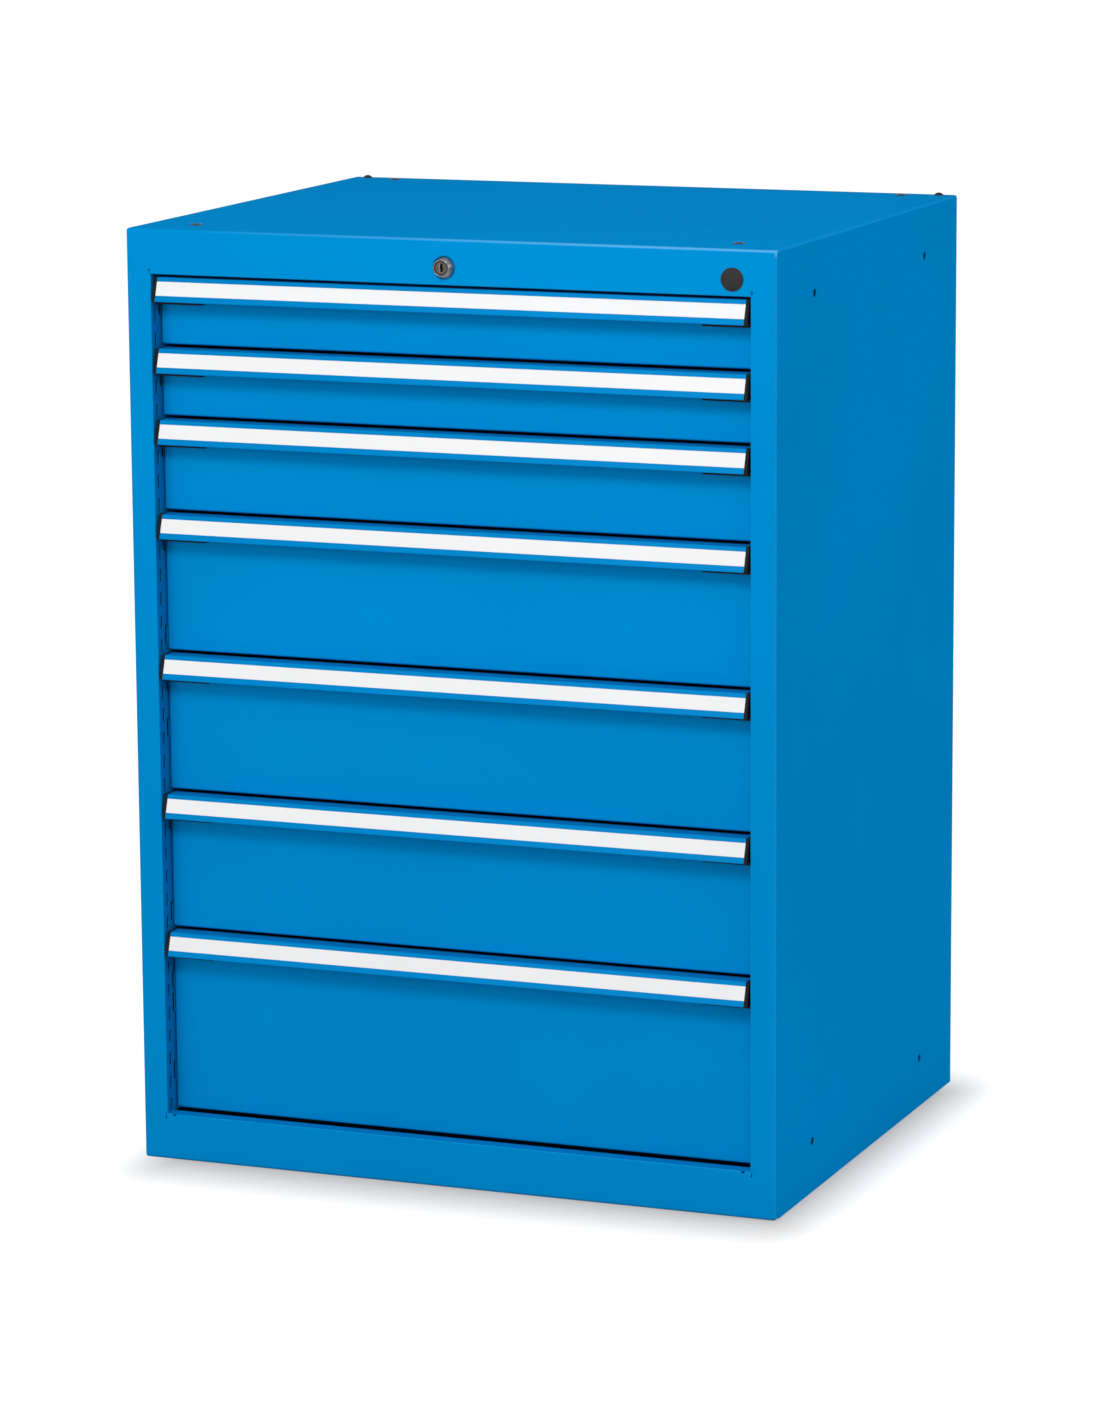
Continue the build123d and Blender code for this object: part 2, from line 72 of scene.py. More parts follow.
# Photograph and the camera that took it
PHOTO_HEIGHT = 1422
CAMERA_PLACE = (2.1367, -5.3933, 1.5784)
CAMERA_AZIMUTH = math.radians(21.668)
CAMERA_ELEVATION = math.radians(10.946)
CAMERA_ROLL = math.radians(-0.385)
FOCAL_PIXELS = 5440.4
SENSOR_MM = 36.0
CLIP_END = 200.0

# Light
AIM = (0.0, 0.0, 0.55)
KEY_PLACE = (0.4, -2.7, 2.45)
KEY_SIZE = 0.8
KEY_WATTS = 41.0
SIDE_FILL_PLACE = (5.0, 0.6, 1.8)
SIDE_FILL_WATTS = 74.0
FRONT_FILL_PLACE = (-1.5, -4.2, 0.9)
FRONT_FILL_WATTS = 38.0
FILL_SIZE = 2.5
SKY_STRENGTH = 0.62
SEEN_SKY_STRENGTH = 1.0
WHITE = (1, 1, 1, 1)

# Floor, with a painted shadow around the cabinet's foot
FLOOR_HALF = 40.0
FLOOR_CELLS = 8
FLOOR_COLOUR = (0.35, 0.35, 0.35)
FLOOR_PAINTED_SHADOW_GLOW = (0.295, 0.275, 0.25)
FLOOR_FAR_GLOW = (0.80, 0.80, 0.80)
FLOOR_ROUGHNESS = 0.9
SHADOW_SIDE_REACH = 0.065
SHADOW_FRONT_REACH = 0.11
SHADOW_SHIFT = (0.02, -0.03, 0.0)
LEVEL = (1, 1, 0)

# Drawer trays, as the solids have them
DRAWERS = 7
TRAY_HALF = 0.3072
TRAY_SHEET = 0.0012
TRAY_BOTTOM_RISE = 0.0036
LIP_WIDTH = 0.007
SLOT_PITCH = 0.017
SLOT_WIDTH = 0.0022
SLOT_TALLEST = 0.042
SLOT_MARGIN = 0.008
SLIDE_SHEET = 0.0015
SLIDE_HEIGHT = 0.040
SLIDE_RISE = 0.0276
SLIDE_TIP = 0.31775
SLIDE_SETBACK = 0.0082
SLIDE_CORNER = 0.0012

# Lock
COLLAR_LENGTH = 0.008
COLLAR_RIM = 0.0016
COLLAR_NOSE_RADIUS = 0.0085
COLLAR_ROUNDING = 0.0008
BARREL_RADIUS = 0.0095
BORE_RADIUS = 0.0070
FACE_RING_RADIUS = 0.0080
FACE_RING_SINK = 0.0003
FACE_RING_THICKNESS = 0.0010
FACE_RING_CLEARANCE = 0.00005
FACE_RING_SEAT = FACE_RING_SINK + FACE_RING_THICKNESS
PLUG_BEVEL = 0.0004
KEYWAY_HALF_HEIGHT = 0.0042
KEYWAY_HALF_WIDTH = 0.0011
KEYWAY_DEPTH = 0.006
KEYWAY_BEVEL = 0.0007
WARD_WIDTH = 0.0007
WARD_LENGTH = 0.0021
WARD_SLOPE = 0.0007
TAIL_HALF = 0.003

# Plastic plug in the spare lock hole
HOLE_PLUG_RIM = 0.0006
HOLE_PLUG_STEM_RADIUS = 0.0098
CROWN_STEPS = 8

# Threaded inserts in the top
INSERT_HEAD_HEIGHT = 0.0008
INSERT_HEAD_RADIUS = 0.0065
INSERT_BODY_RADIUS = 0.0050
INSERT_BORE_RADIUS = 0.0034
INSERT_CHAMFER = 0.0008
THREAD_PITCH = 0.00125
THREAD_DEPTH = 0.0005

# Turned and rounded pieces
BACKWARD = Vector((0, 1, 0))
UPWARD = Vector((0, 0, 1))
TURN_STEPS = 64
CORNER_STEPS = 4
SMOOTH_ANGLE = math.radians(32)

# In the finishes below a noise is its scale and detail, a bump its strength and depth in metres,
# a roughness its lowest and highest value, and shades are the factors of the darkest and lightest colour.
OPAQUE = 1
NOISE_LOW = 0.3
NOISE_HIGH = 0.7
NOISE_ROUGHNESS = 0.5

# Powder coat
CARCASS_BLUE = (0.0, 0.245, 0.590)
DRAWER_BLUE = (0.0, 0.240, 0.585)
# The handles get a darker copy of the same blue: painted shade that keeps their upward-tilted faces no
# brighter than the fronts.
HANDLE_BLUE_SHADED = (0.0, 0.210, 0.525)
PAINT_CLOUD = (3.5, 3)
PAINT_SHADES = (0.965, 1.03)
PEEL = (620, 1.5)
PEEL_BUMP = (0.22, 0.00018)
PAINT_GRAIN = (2600, 1)
PAINT_GRAIN_BUMP = (0.10, 0.00005)
PAINT_ROUGHNESS = (0.38, 0.47)
PAINT_METALLIC = 0.12
PAINT_TINT = (0.0, 0.5, 0.9, 1.0)

# Painted highlight on the folds: a pale line, nearly all of it along the top of the front
FOLD_HIGHLIGHT_COLOUR = (0.088, 0.37, 0.70)
FOLD_FACING = 0.90
FLAT_FACING = 0.995
TOP_FOLD_DEPTH = 0.004
PLAIN_FOLD_HIGHLIGHT_SHARE = 0.06
HIGHLIGHT_FADE_X = -0.28
HIGHLIGHT_FULL_X = 0.22

# Label card
CARD_DARKEST = (0.80, 0.804, 0.808)
CARD_LIGHTEST = (0.825, 0.828, 0.832)
CARD_CLOUD = (9, 2)
FIBRE = (900, 4)
FIBRE_NOISE_ROUGHNESS = 0.7
FIBRE_STRETCH = (0.25, 1, 1)
FIBRE_BUMP = (0.12, 0.00006)
CARD_ROUGHNESS = (0.42, 0.56)
CARD_GLOSS = 0.3
FILM_WEIGHT = 0.15
FILM_ROUGHNESS = 0.2

# Moulded plastic
CAP_BLACK = (0.008, 0.009, 0.011)
CAP_GLOSS = 0.08
PLUG_BLACK = (0.017, 0.016, 0.016)
PLUG_GLOSS = 0.18
PLASTIC_CLOUD = (60, 2)
PLASTIC_SHADES = (0.8, 1.25)
PLASTIC_GRAIN = (1800, 2)
PLASTIC_GRAIN_BUMP = (0.35, 0.00008)
PLASTIC_ROUGHNESS = (0.5, 0.64)

# Plated steel
INSERT_GREY = (0.020, 0.021, 0.024)
INSERT_METALLIC = 0.0
INSERT_GLOSS = 0.15
ZINC_METALLIC = 1.0
ZINC_GLOSS = 0.5
CRYSTAL_SCALE = 420
CRYSTAL_SHADES = (0.88, 1.1)
CRYSTAL_LOW = 0.1
CRYSTAL_HIGH = 0.9
ROLLING = (900, 3)
ROLLING_STRETCH = (1, 0.02, 1)
ROLLING_BUMP = (0.18, 0.00006)
PLATED_ROUGHNESS = (0.28, 0.44)

# Turned metal
COLLAR_GREY = (0.25, 0.238, 0.236)
COLLAR_ROUGHNESS = (0.2, 0.3)
CORE_GREY = (0.055, 0.050, 0.047)
CORE_ROUGHNESS = (0.28, 0.38)
TURNED_CLOUD = (240, 3)
TURNED_SHADES = (0.9, 1.06)
TURNED_METALLIC = 1.0
RING_SCALE = 620
RING_BUMP = (0.15, 0.00004)

# Floor finish
FLOOR_CLOUD = (2.0, 3)
FLOOR_SHADES = (0.99, 1.0)

# Sockets of a Mix node for colours, which has sockets of the same names for other data before them
MIX_FACTOR = 0
MIX_FIRST = 6
MIX_SECOND = 7
MIX_RESULT = 2


def shade(colour, factor):
    """The same colour, lighter or darker."""
    return tuple(channel * factor for channel in colour)


def seen_rays(tree):
    """1 for what the camera, metal and glass see, and 0 for the light that falls on other surfaces."""
    path = tree.nodes.new("ShaderNodeLightPath")
    seen = path.outputs["Is Camera Ray"]
    for kind in ("Is Glossy Ray", "Is Transmission Ray"):
        larger = tree.nodes.new("ShaderNodeMath")
        larger.operation = "MAXIMUM"
        tree.links.new(seen, larger.inputs[0])
        tree.links.new(path.outputs[kind], larger.inputs[1])
        seen = larger.outputs[0]
    return seen


class Finish:
    """A node material that is built up around one Principled shader."""

    def __init__(self, name):
        self.material = bpy.data.materials.new(name)
        self.material.use_nodes = True
        self.tree = self.material.node_tree
        self.shader = self.tree.nodes["Principled BSDF"]
        coordinates = self.node("ShaderNodeTexCoord")
        self.place = coordinates.outputs["Object"]
        self.facing = coordinates.outputs["Normal"]

    def node(self, kind, **settings):
        made = self.tree.nodes.new(kind)
        for key, value in settings.items():
            setattr(made, key, value)
        return made

    def link(self, output, socket):
        self.tree.links.new(output, socket)

    def feed(self, name, output):
        """Link an output to the shader's socket of that name."""
        self.link(output, self.shader.inputs[name])

    def set(self, **values):
        """Constants on the shader's own sockets, named with _ for a blank."""
        for key, value in values.items():
            self.shader.inputs[key.replace("_", " ")].default_value = value

    def stretched(self, stretch=(1, 1, 1), shift=(0, 0, 0)):
        """Object coordinates, shifted and then scaled along each axis."""
        mapping = self.node("ShaderNodeMapping")
        mapping.inputs["Location"].default_value = [-s * k for s, k in zip(shift, stretch)]
        mapping.inputs["Scale"].default_value = stretch
        self.link(self.place, mapping.inputs["Vector"])
        return mapping.outputs["Vector"]

    def noise(self, scale, detail, rough=NOISE_ROUGHNESS, place=None):
        texture = self.node("ShaderNodeTexNoise")
        texture.inputs["Scale"].default_value = scale
        texture.inputs["Detail"].default_value = detail
        texture.inputs["Roughness"].default_value = rough
        self.link(place or self.place, texture.inputs["Vector"])
        return texture.outputs["Fac"]

    def cells(self, scale):
        texture = self.node("ShaderNodeTexVoronoi")
        texture.inputs["Scale"].default_value = scale
        self.link(self.place, texture.inputs["Vector"])
        return texture.outputs["Color"]

    def rings(self, scale, centre, axis):
        """Fine rings about an axis through a centre, as a lathe leaves them."""
        texture = self.node(
            "ShaderNodeTexWave", wave_type="RINGS", rings_direction=axis, wave_profile="SIN"
        )
        texture.inputs["Scale"].default_value = scale
        texture.inputs["Distortion"].default_value = 0
        self.link(self.stretched(shift=centre), texture.inputs["Vector"])
        return texture.outputs["Fac"]

    def ramp(self, factor, low, high, start=NOISE_LOW, end=NOISE_HIGH):
        """A colour that runs from low to high as the factor runs from start to end."""
        made = self.node("ShaderNodeValToRGB")
        first, last = made.color_ramp.elements
        first.position = start
        first.color = (*low, OPAQUE)
        last.position = end
        last.color = (*high, OPAQUE)
        self.link(factor, made.inputs["Fac"])
        return made.outputs["Color"]

    def shaded(self, factor, colour, shades, start=NOISE_LOW, end=NOISE_HIGH):
        """A colour between its darkest and its lightest shade."""
        darkest, lightest = shades
        return self.ramp(factor, shade(colour, darkest), shade(colour, lightest), start, end)

    def spread(self, factor, low, high, start=NOISE_LOW, end=NOISE_HIGH):
        """A number that runs from low to high as the factor runs from start to end."""
        made = self.node("ShaderNodeMapRange")
        values = {"From Min": start, "From Max": end, "To Min": low, "To Max": high}
        for key, value in values.items():
            made.inputs[key].default_value = value
        self.link(factor, made.inputs["Value"])
        return made.outputs["Result"]

    def mix(self, factor, first, second):
        """The first colour where the factor is 0 and the second, a constant, where it is 1."""
        made = self.node("ShaderNodeMix", data_type="RGBA")
        self.link(factor, made.inputs[MIX_FACTOR])
        self.link(first, made.inputs[MIX_FIRST])
        made.inputs[MIX_SECOND].default_value = (*second, OPAQUE)
        return made.outputs[MIX_RESULT]

    def combined(self, operation, first, second):
        """One number worked out from two."""
        made = self.node("ShaderNodeMath", operation=operation)
        self.link(first, made.inputs[0])
        self.link(second, made.inputs[1])
        return made.outputs[0]

    def changed(self, operation, vector, constant=(0, 0, 0)):
        """A vector worked out from another one and a constant."""
        made = self.node("ShaderNodeVectorMath", operation=operation)
        self.link(vector, made.inputs[0])
        made.inputs[1].default_value = constant
        return made.outputs["Vector"]

    def length(self, vector):
        made = self.node("ShaderNodeVectorMath", operation="LENGTH")
        self.link(vector, made.inputs[0])
        return made.outputs["Value"]

    def parts(self, vector):
        """The X, Y and Z of a vector."""
        made = self.node("ShaderNodeSeparateXYZ")
        self.link(vector, made.inputs[0])
        return made.outputs["X"], made.outputs["Y"], made.outputs["Z"]

    def folds(self):
        """1 on the rounded folds between flat sheets and 0 on the flats, which face along the axes."""
        x, y, z = self.parts(self.changed("ABSOLUTE", self.facing))
        largest = self.combined("MAXIMUM", self.combined("MAXIMUM", x, y), z)
        return self.spread(largest, 1, 0, FOLD_FACING, FLAT_FACING)

    def front_top_fold_highlight(self):
        """Where the painted highlight goes: 1 on the fold along the top of the front, little on other
        folds, and fading to the left.
        """
        x, y, z = self.parts(self.place)
        top = carcass_high.z - TOP_FOLD_DEPTH
        front = carcass_low.y + TOP_FOLD_DEPTH
        high = self.spread(z, PLAIN_FOLD_HIGHLIGHT_SHARE, 1, top - TOP_FOLD_DEPTH, top)
        near = self.spread(y, 1, PLAIN_FOLD_HIGHLIGHT_SHARE, front, front + TOP_FOLD_DEPTH)
        right = self.spread(x, 0, 1, HIGHLIGHT_FADE_X, HIGHLIGHT_FULL_X)
        high_folds = self.combined("MULTIPLY", self.folds(), high)
        return self.combined("MULTIPLY", high_folds, self.combined("MULTIPLY", near, right))

    def bumps(self, *layers):
        """Bump layers, each a height output, a strength and a depth."""
        normal = None
        for height, strength, depth in layers:
            made = self.node("ShaderNodeBump")
            made.inputs["Strength"].default_value = strength
            made.inputs["Distance"].default_value = depth
            self.link(height, made.inputs["Height"])
            if normal:
                self.link(normal, made.inputs["Normal"])
            normal = made.outputs["Normal"]
        self.feed("Normal", normal)


def powder_coat(name, colour):
    """Satin powder coat: cloudy colour, a painted highlight along the folds and the orange peel of baked
    paint.
    """
    finish = Finish(name)
    cloud = finish.noise(*PAINT_CLOUD)
    peel = finish.noise(*PEEL)
    grain = finish.noise(*PAINT_GRAIN)
    clouded = finish.shaded(cloud, colour, PAINT_SHADES)
    # The base colour turns pale on the front's top fold: a painted highlight.
    finish.feed("Base Color", finish.mix(finish.front_top_fold_highlight(), clouded, FOLD_HIGHLIGHT_COLOUR))
    finish.feed("Roughness", finish.spread(peel, *PAINT_ROUGHNESS))
    finish.bumps((peel, *PEEL_BUMP), (grain, *PAINT_GRAIN_BUMP))
    finish.set(Metallic=PAINT_METALLIC, Specular_IOR_Level=0.0, Specular_Tint=PAINT_TINT)
    return finish.material


def label_card(name):
    """White card under a thin matt film."""
    finish = Finish(name)
    fibre = finish.noise(*FIBRE, FIBRE_NOISE_ROUGHNESS, finish.stretched(FIBRE_STRETCH))
    cloud = finish.noise(*CARD_CLOUD)
    finish.feed("Base Color", finish.ramp(cloud, CARD_DARKEST, CARD_LIGHTEST))
    finish.feed("Roughness", finish.spread(fibre, *CARD_ROUGHNESS))
    finish.bumps((fibre, *FIBRE_BUMP))
    finish.set(Specular_IOR_Level=CARD_GLOSS, Coat_Weight=FILM_WEIGHT, Coat_Roughness=FILM_ROUGHNESS)
    return finish.material


def moulded_plastic(name, colour, gloss):
    """Moulded plastic with a fine spark-eroded grain."""
    finish = Finish(name)
    grain = finish.noise(*PLASTIC_GRAIN)
    cloud = finish.noise(*PLASTIC_CLOUD)
    finish.feed("Base Color", finish.shaded(cloud, colour, PLASTIC_SHADES))
    finish.feed("Roughness", finish.spread(grain, *PLASTIC_ROUGHNESS))
    finish.bumps((grain, *PLASTIC_GRAIN_BUMP))
    finish.set(Specular_IOR_Level=gloss)
    return finish.material


def plated_steel(name, colour, metallic, gloss):
    """Plated steel: small crystals over fine rolling lines along Y."""
    finish = Finish(name)
    crystals = finish.cells(CRYSTAL_SCALE)
    lines = finish.noise(*ROLLING, place=finish.stretched(ROLLING_STRETCH))
    shaded = finish.shaded(crystals, colour, CRYSTAL_SHADES, CRYSTAL_LOW, CRYSTAL_HIGH)
    finish.feed("Base Color", shaded)
    finish.feed("Roughness", finish.spread(lines, *PLATED_ROUGHNESS))
    finish.bumps((lines, *ROLLING_BUMP))
    finish.set(Metallic=metallic, Specular_IOR_Level=gloss)
    return finish.material


def turned_metal(name, colour, roughness):
    """Turned metal with fine rings about the lock's axis."""
    finish = Finish(name)
    rings = finish.rings(RING_SCALE, lock_centre, "Y")
    cloud = finish.noise(*TURNED_CLOUD)
    finish.feed("Base Color", finish.shaded(cloud, colour, TURNED_SHADES))
    finish.feed("Roughness", finish.spread(cloud, *roughness))
    finish.bumps((rings, *RING_BUMP))
    finish.set(Metallic=TURNED_METALLIC)
    return finish.material


def slot_colour(slot):
    """The colour that the record gives a material slot."""
    for entry in frame["record"]["materials"]:
        if entry["slot"] == slot:
            return tuple(entry["base_color"])


finishes = {
    "carcass_paint": powder_coat("carcass_paint", CARCASS_BLUE),
    "drawer_paint": powder_coat("drawer_paint", DRAWER_BLUE),
    # The handles' paint is a darker copy of the blue: painted shade.
    "handle_paint": powder_coat("handle_paint", HANDLE_BLUE_SHADED),
    "tray_paint": powder_coat("tray_paint", DRAWER_BLUE),
    "label_white": label_card("label_white"),
    "cap_plastic": moulded_plastic("cap_plastic", CAP_BLACK, CAP_GLOSS),
    "black_plastic": moulded_plastic("black_plastic", PLUG_BLACK, PLUG_GLOSS),
    "zinc_steel": plated_steel("zinc_steel", slot_colour("zinc_steel"), ZINC_METALLIC, ZINC_GLOSS),
    "polished_lock": turned_metal("polished_lock", COLLAR_GREY, COLLAR_ROUGHNESS),
    "lock_core": turned_metal("lock_core", CORE_GREY, CORE_ROUGHNESS),
    "insert_steel": plated_steel("insert_steel", INSERT_GREY, INSERT_METALLIC, INSERT_GLOSS),
}
for subpart in frame["record"]["subparts"]:
    node = frame["nodes"][subpart["node"]]
    node.material_slots[0].material = finishes[subpart["material_slot"]]


def add_piece(name, mesh, body, slot, *nodes):
    """Turn a finished mesh into a piece that rides on a body and stands for CAD nodes."""
    bmesh.ops.recalc_face_normals(mesh, faces=mesh.faces)
    data = bpy.data.meshes.new(name)
    mesh.to_mesh(data)
    mesh.free()
    for polygon in data.polygons:
        polygon.use_smooth = True
    data.set_sharp_from_angle(angle=SMOOTH_ANGLE)
    data.materials.append(finishes[slot])
    piece = bpy.data.objects.new(name, data)
    bpy.context.scene.collection.objects.link(piece)
    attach(piece, body)
    if nodes:
        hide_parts(*nodes)


def slab(mesh, low, high):
    """A plate between its lowest and highest corners."""
    low = Vector(low)
    size = Vector(high) - low
    place = Matrix.Translation(low + size / 2) @ Matrix.Diagonal((*size, 1))
    bmesh.ops.create_cube(mesh, size=1, matrix=place)


def rounded(outline, radius):
    """The outline with each corner replaced by a small curve."""
    points = [Vector(point) for point in outline]
    result = []
    for before, corner, after in zip(points[-1:] + points[:-1], points, points[1:] + points[:1]):
        reach = min(radius, (before - corner).length / 2, (after - corner).length / 2)
        start = corner + (before - corner).normalized() * reach
        end = corner + (after - corner).normalized() * reach
        for step in range(CORNER_STEPS + 1):
            share = step / CORNER_STEPS
            result.append(start.lerp(corner, share).lerp(corner.lerp(end, share), share))
    return result


def prism_along_y(mesh, outline, low_y, high_y):
    """A prism along Y with an outline of (x, z) points."""
    ends = [[mesh.verts.new((x, y, z)) for x, z in outline] for y in (low_y, high_y)]
    for ring in ends:
        mesh.faces.new(ring)
    near, far = ends
    for index in range(len(outline)):
        following = (index + 1) % len(outline)
        mesh.faces.new((near[index], near[following], far[following], far[index]))


def slot_count(length):
    """How many slots stand at the pitch within a length, with none at its ends."""
    return round(length / SLOT_PITCH) - 1


def slot_columns_from(first, count):
    """Columns of slots at the pitch, each as the places of its two edges."""
    middles = [first + number * SLOT_PITCH for number in range(count)]
    return [(middle - SLOT_WIDTH / 2, middle + SLOT_WIDTH / 2) for middle in middles]


def slot_rows_between(low, high):
    """Rows of equal slots that fill a wall between two heights, each as its two ends."""
    count = max(1, round((high - low) / (SLOT_TALLEST + SLOT_MARGIN)))
    step = (high - low) / count
    inset = SLOT_MARGIN / 2
    return [(low + n * step + inset, low + (n + 1) * step - inset) for n in range(count)]


def lines_across(spans, length):
    """The start of a length, the two ends of each span within it, and its end."""
    return [0.0, *(end for span in spans for end in span), length]


def slotted_wall(mesh, corner, along, rise, depth, slot_columns, slot_rows):
    """A sheet wall with rows of upright slots cut right through it."""
    columns = lines_across(slot_columns, along.length)
    rows = lines_across(slot_rows, rise.length)
    across = along.normalized()
    upward = rise.normalized()
    grid = [[mesh.verts.new(corner + across * u + upward * v) for v in rows] for u in columns]
    faces = []
    for i in range(len(columns) - 1):
        for j in range(len(rows) - 1):
            is_slot = i % 2 == 1 and j % 2 == 1
            if not is_slot:
                corners = (grid[i][j], grid[i + 1][j], grid[i + 1][j + 1], grid[i][j + 1])
                faces.append(mesh.faces.new(corners))
    grown = bmesh.ops.extrude_face_region(mesh, geom=faces)
    moved = [item for item in grown["geom"] if isinstance(item, bmesh.types.BMVert)]
    bmesh.ops.translate(mesh, verts=moved, vec=depth)


class TrayPlaces:
    """Where one drawer's tray has its walls and slots, from the box of its solid."""

    def __init__(self, number):
        self.low, self.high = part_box(f"drawer_{number}_tray")
        self.inner_half = TRAY_HALF - TRAY_SHEET
        self.inner_front = self.low.y + TRAY_SHEET
        self.inner_back = self.high.y - TRAY_SHEET
        self.floor = self.low.z + TRAY_BOTTOM_RISE
        self.wall_foot = self.floor + TRAY_SHEET
        self.wall_height = self.high.z - self.wall_foot
        self.slot_rows = slot_rows_between(SLOT_MARGIN / 2, self.wall_height - SLOT_MARGIN / 2)
        self.slots_across = slot_count(2 * self.inner_half)
        self.slots_along = slot_count(self.inner_back - self.inner_front)


def add_side_walls(tray, places):
    """The tray's two side walls, each with a lip along its top."""
    top = places.high.z
    for side in (-1, 1):
        slotted_wall(
            tray,
            corner=Vector((side * places.inner_half, places.inner_front, places.wall_foot)),
            along=Vector((0, places.inner_back - places.inner_front, 0)),
            rise=Vector((0, 0, places.wall_height)),
            depth=Vector((side * TRAY_SHEET, 0, 0)),
            slot_columns=slot_columns_from(SLOT_PITCH, places.slots_along),
            slot_rows=places.slot_rows,
        )
        lip = [
            (side * TRAY_HALF, top),
            (side * (TRAY_HALF + LIP_WIDTH), top),
            (side * (TRAY_HALF + LIP_WIDTH), top - TRAY_SHEET),
            (side * TRAY_HALF, top - TRAY_SHEET),
        ]
        prism_along_y(tray, rounded(lip, TRAY_SHEET / 2), places.inner_front, places.high.y)


def add_back_wall(tray, places):
    """The tray's back wall, which stands on the floor between the sides' outer faces."""
    slotted_wall(
        tray,
        corner=Vector((-TRAY_HALF, places.inner_back, places.wall_foot)),
        along=Vector((2 * TRAY_HALF, 0, 0)),
        rise=Vector((0, 0, places.wall_height)),
        depth=Vector((0, TRAY_SHEET, 0)),
        slot_columns=slot_columns_from(SLOT_PITCH + TRAY_SHEET, places.slots_across),
        slot_rows=places.slot_rows,
    )


def add_front_wall(tray, places):
    """The tray's front wall, as wide and as tall as the solid, with slots level with the others."""
    low = places.low
    size = places.high - low
    lift = places.wall_foot - low.z
    slotted_wall(
        tray,
        corner=low,
        along=Vector((size.x, 0, 0)),
        rise=Vector((0, 0, size.z)),
        depth=Vector((0, TRAY_SHEET, 0)),
        slot_columns=slot_columns_from(SLOT_PITCH - places.inner_half - low.x, places.slots_across),
        slot_rows=[(bottom + lift, top + lift) for bottom, top in places.slot_rows],
    )


def make_inner_rails(number, places):
    """The inner slide members at the sides of a drawer's tray."""
    rails = bmesh.new()
    middle = places.low.z + SLIDE_RISE
    lower = middle - SLIDE_HEIGHT / 2
    upper = middle + SLIDE_HEIGHT / 2
    for side in (-1, 1):
        root = side * TRAY_HALF
        web = side * (TRAY_HALF + SLIDE_SHEET)
        tip = side * SLIDE_TIP
        channel = [
            (root, lower),
            (tip, lower),
            (tip, lower + SLIDE_SHEET),
            (web, lower + SLIDE_SHEET),
            (web, upper - SLIDE_SHEET),
            (tip, upper - SLIDE_SHEET),
            (tip, upper),
            (root, upper),
        ]
        prism_along_y(rails, rounded(channel, SLIDE_CORNER), places.low.y + SLIDE_SETBACK, places.high.y)
    add_piece(f"drawer_{number}_inner_rails", rails, f"drawer_{number}", "zinc_steel")


def make_tray(number):
    """A drawer's tray with its rows of divider slots, and the slide members at its sides."""
    places = TrayPlaces(number)
    tray = bmesh.new()
    slab(
        tray,
        (-TRAY_HALF, places.inner_front, places.floor),
        (TRAY_HALF, places.high.y, places.wall_foot),
    )
    add_side_walls(tray, places)
    add_back_wall(tray, places)
    add_front_wall(tray, places)
    add_piece(
        f"drawer_{number}_slotted_tray", tray, f"drawer_{number}", "tray_paint", f"drawer_{number}_tray"
    )
    make_inner_rails(number, places)


def ring_of(mesh, centre, axis, radius, along):
    """A ring of points about an axis, or its one point where the radius is zero."""
    middle = centre + axis * along
    if radius == 0:
        return [mesh.verts.new(middle)]
    side = axis.orthogonal().normalized() * radius
    other = axis.cross(side)
    angles = [math.tau * step / TURN_STEPS for step in range(TURN_STEPS)]
    return [mesh.verts.new(middle + side * math.cos(angle) + other * math.sin(angle)) for angle in angles]


def bridge(mesh, near, far):
    """Faces between two rings, either of which may be a single point."""
    count = max(len(near), len(far))
    for step in range(count):
        following = (step + 1) % count
        corners = [near[step % len(near)], near[following % len(near)]]
        corners += [far[following % len(far)], far[step % len(far)]]
        mesh.faces.new(list(dict.fromkeys(corners)))


def lathe(mesh, profile, centre, axis, closed):
    """A solid turned about an axis, from (radius, along) points that may run back to the first one."""
    rings = [ring_of(mesh, centre, axis, radius, along) for radius, along in profile]
    followers = rings[1:] + rings[:1] if closed else rings[1:]
    for near, far in zip(rings, followers):
        bridge(mesh, near, far)


def make_barrel(nose):
    """The lock's barrel with its collar, from its nose backward."""
    collar_radius = (lock_high.x - lock_low.x) / 2
    outline = [
        (BORE_RADIUS, FACE_RING_SEAT),
        (FACE_RING_RADIUS, FACE_RING_SEAT),
        (FACE_RING_RADIUS, 0),
        (COLLAR_NOSE_RADIUS, 0),
        (collar_radius, COLLAR_LENGTH - COLLAR_RIM),
        (collar_radius, COLLAR_LENGTH),
        (BARREL_RADIUS, COLLAR_LENGTH),
        (BARREL_RADIUS, barrel_length),
        (BORE_RADIUS, barrel_length),
    ]
    barrel = bmesh.new()
    lathe(barrel, rounded(outline, COLLAR_ROUNDING), nose, BACKWARD, closed=True)
    add_piece("lock_collar_and_barrel", barrel, "cabinet", "polished_lock", "lock_barrel")


def make_face_ring(nose):
    """The dark ring that is let into the collar around the lock's plug."""
    outer_radius = FACE_RING_RADIUS - FACE_RING_CLEARANCE
    outline = [
        (BORE_RADIUS, FACE_RING_SINK),
        (outer_radius, FACE_RING_SINK),
        (outer_radius, FACE_RING_SEAT),
        (BORE_RADIUS, FACE_RING_SEAT),
    ]
    ring = bmesh.new()
    lathe(ring, outline, nose, BACKWARD, closed=True)
    add_piece("lock_face_ring", ring, "cabinet", "lock_core")


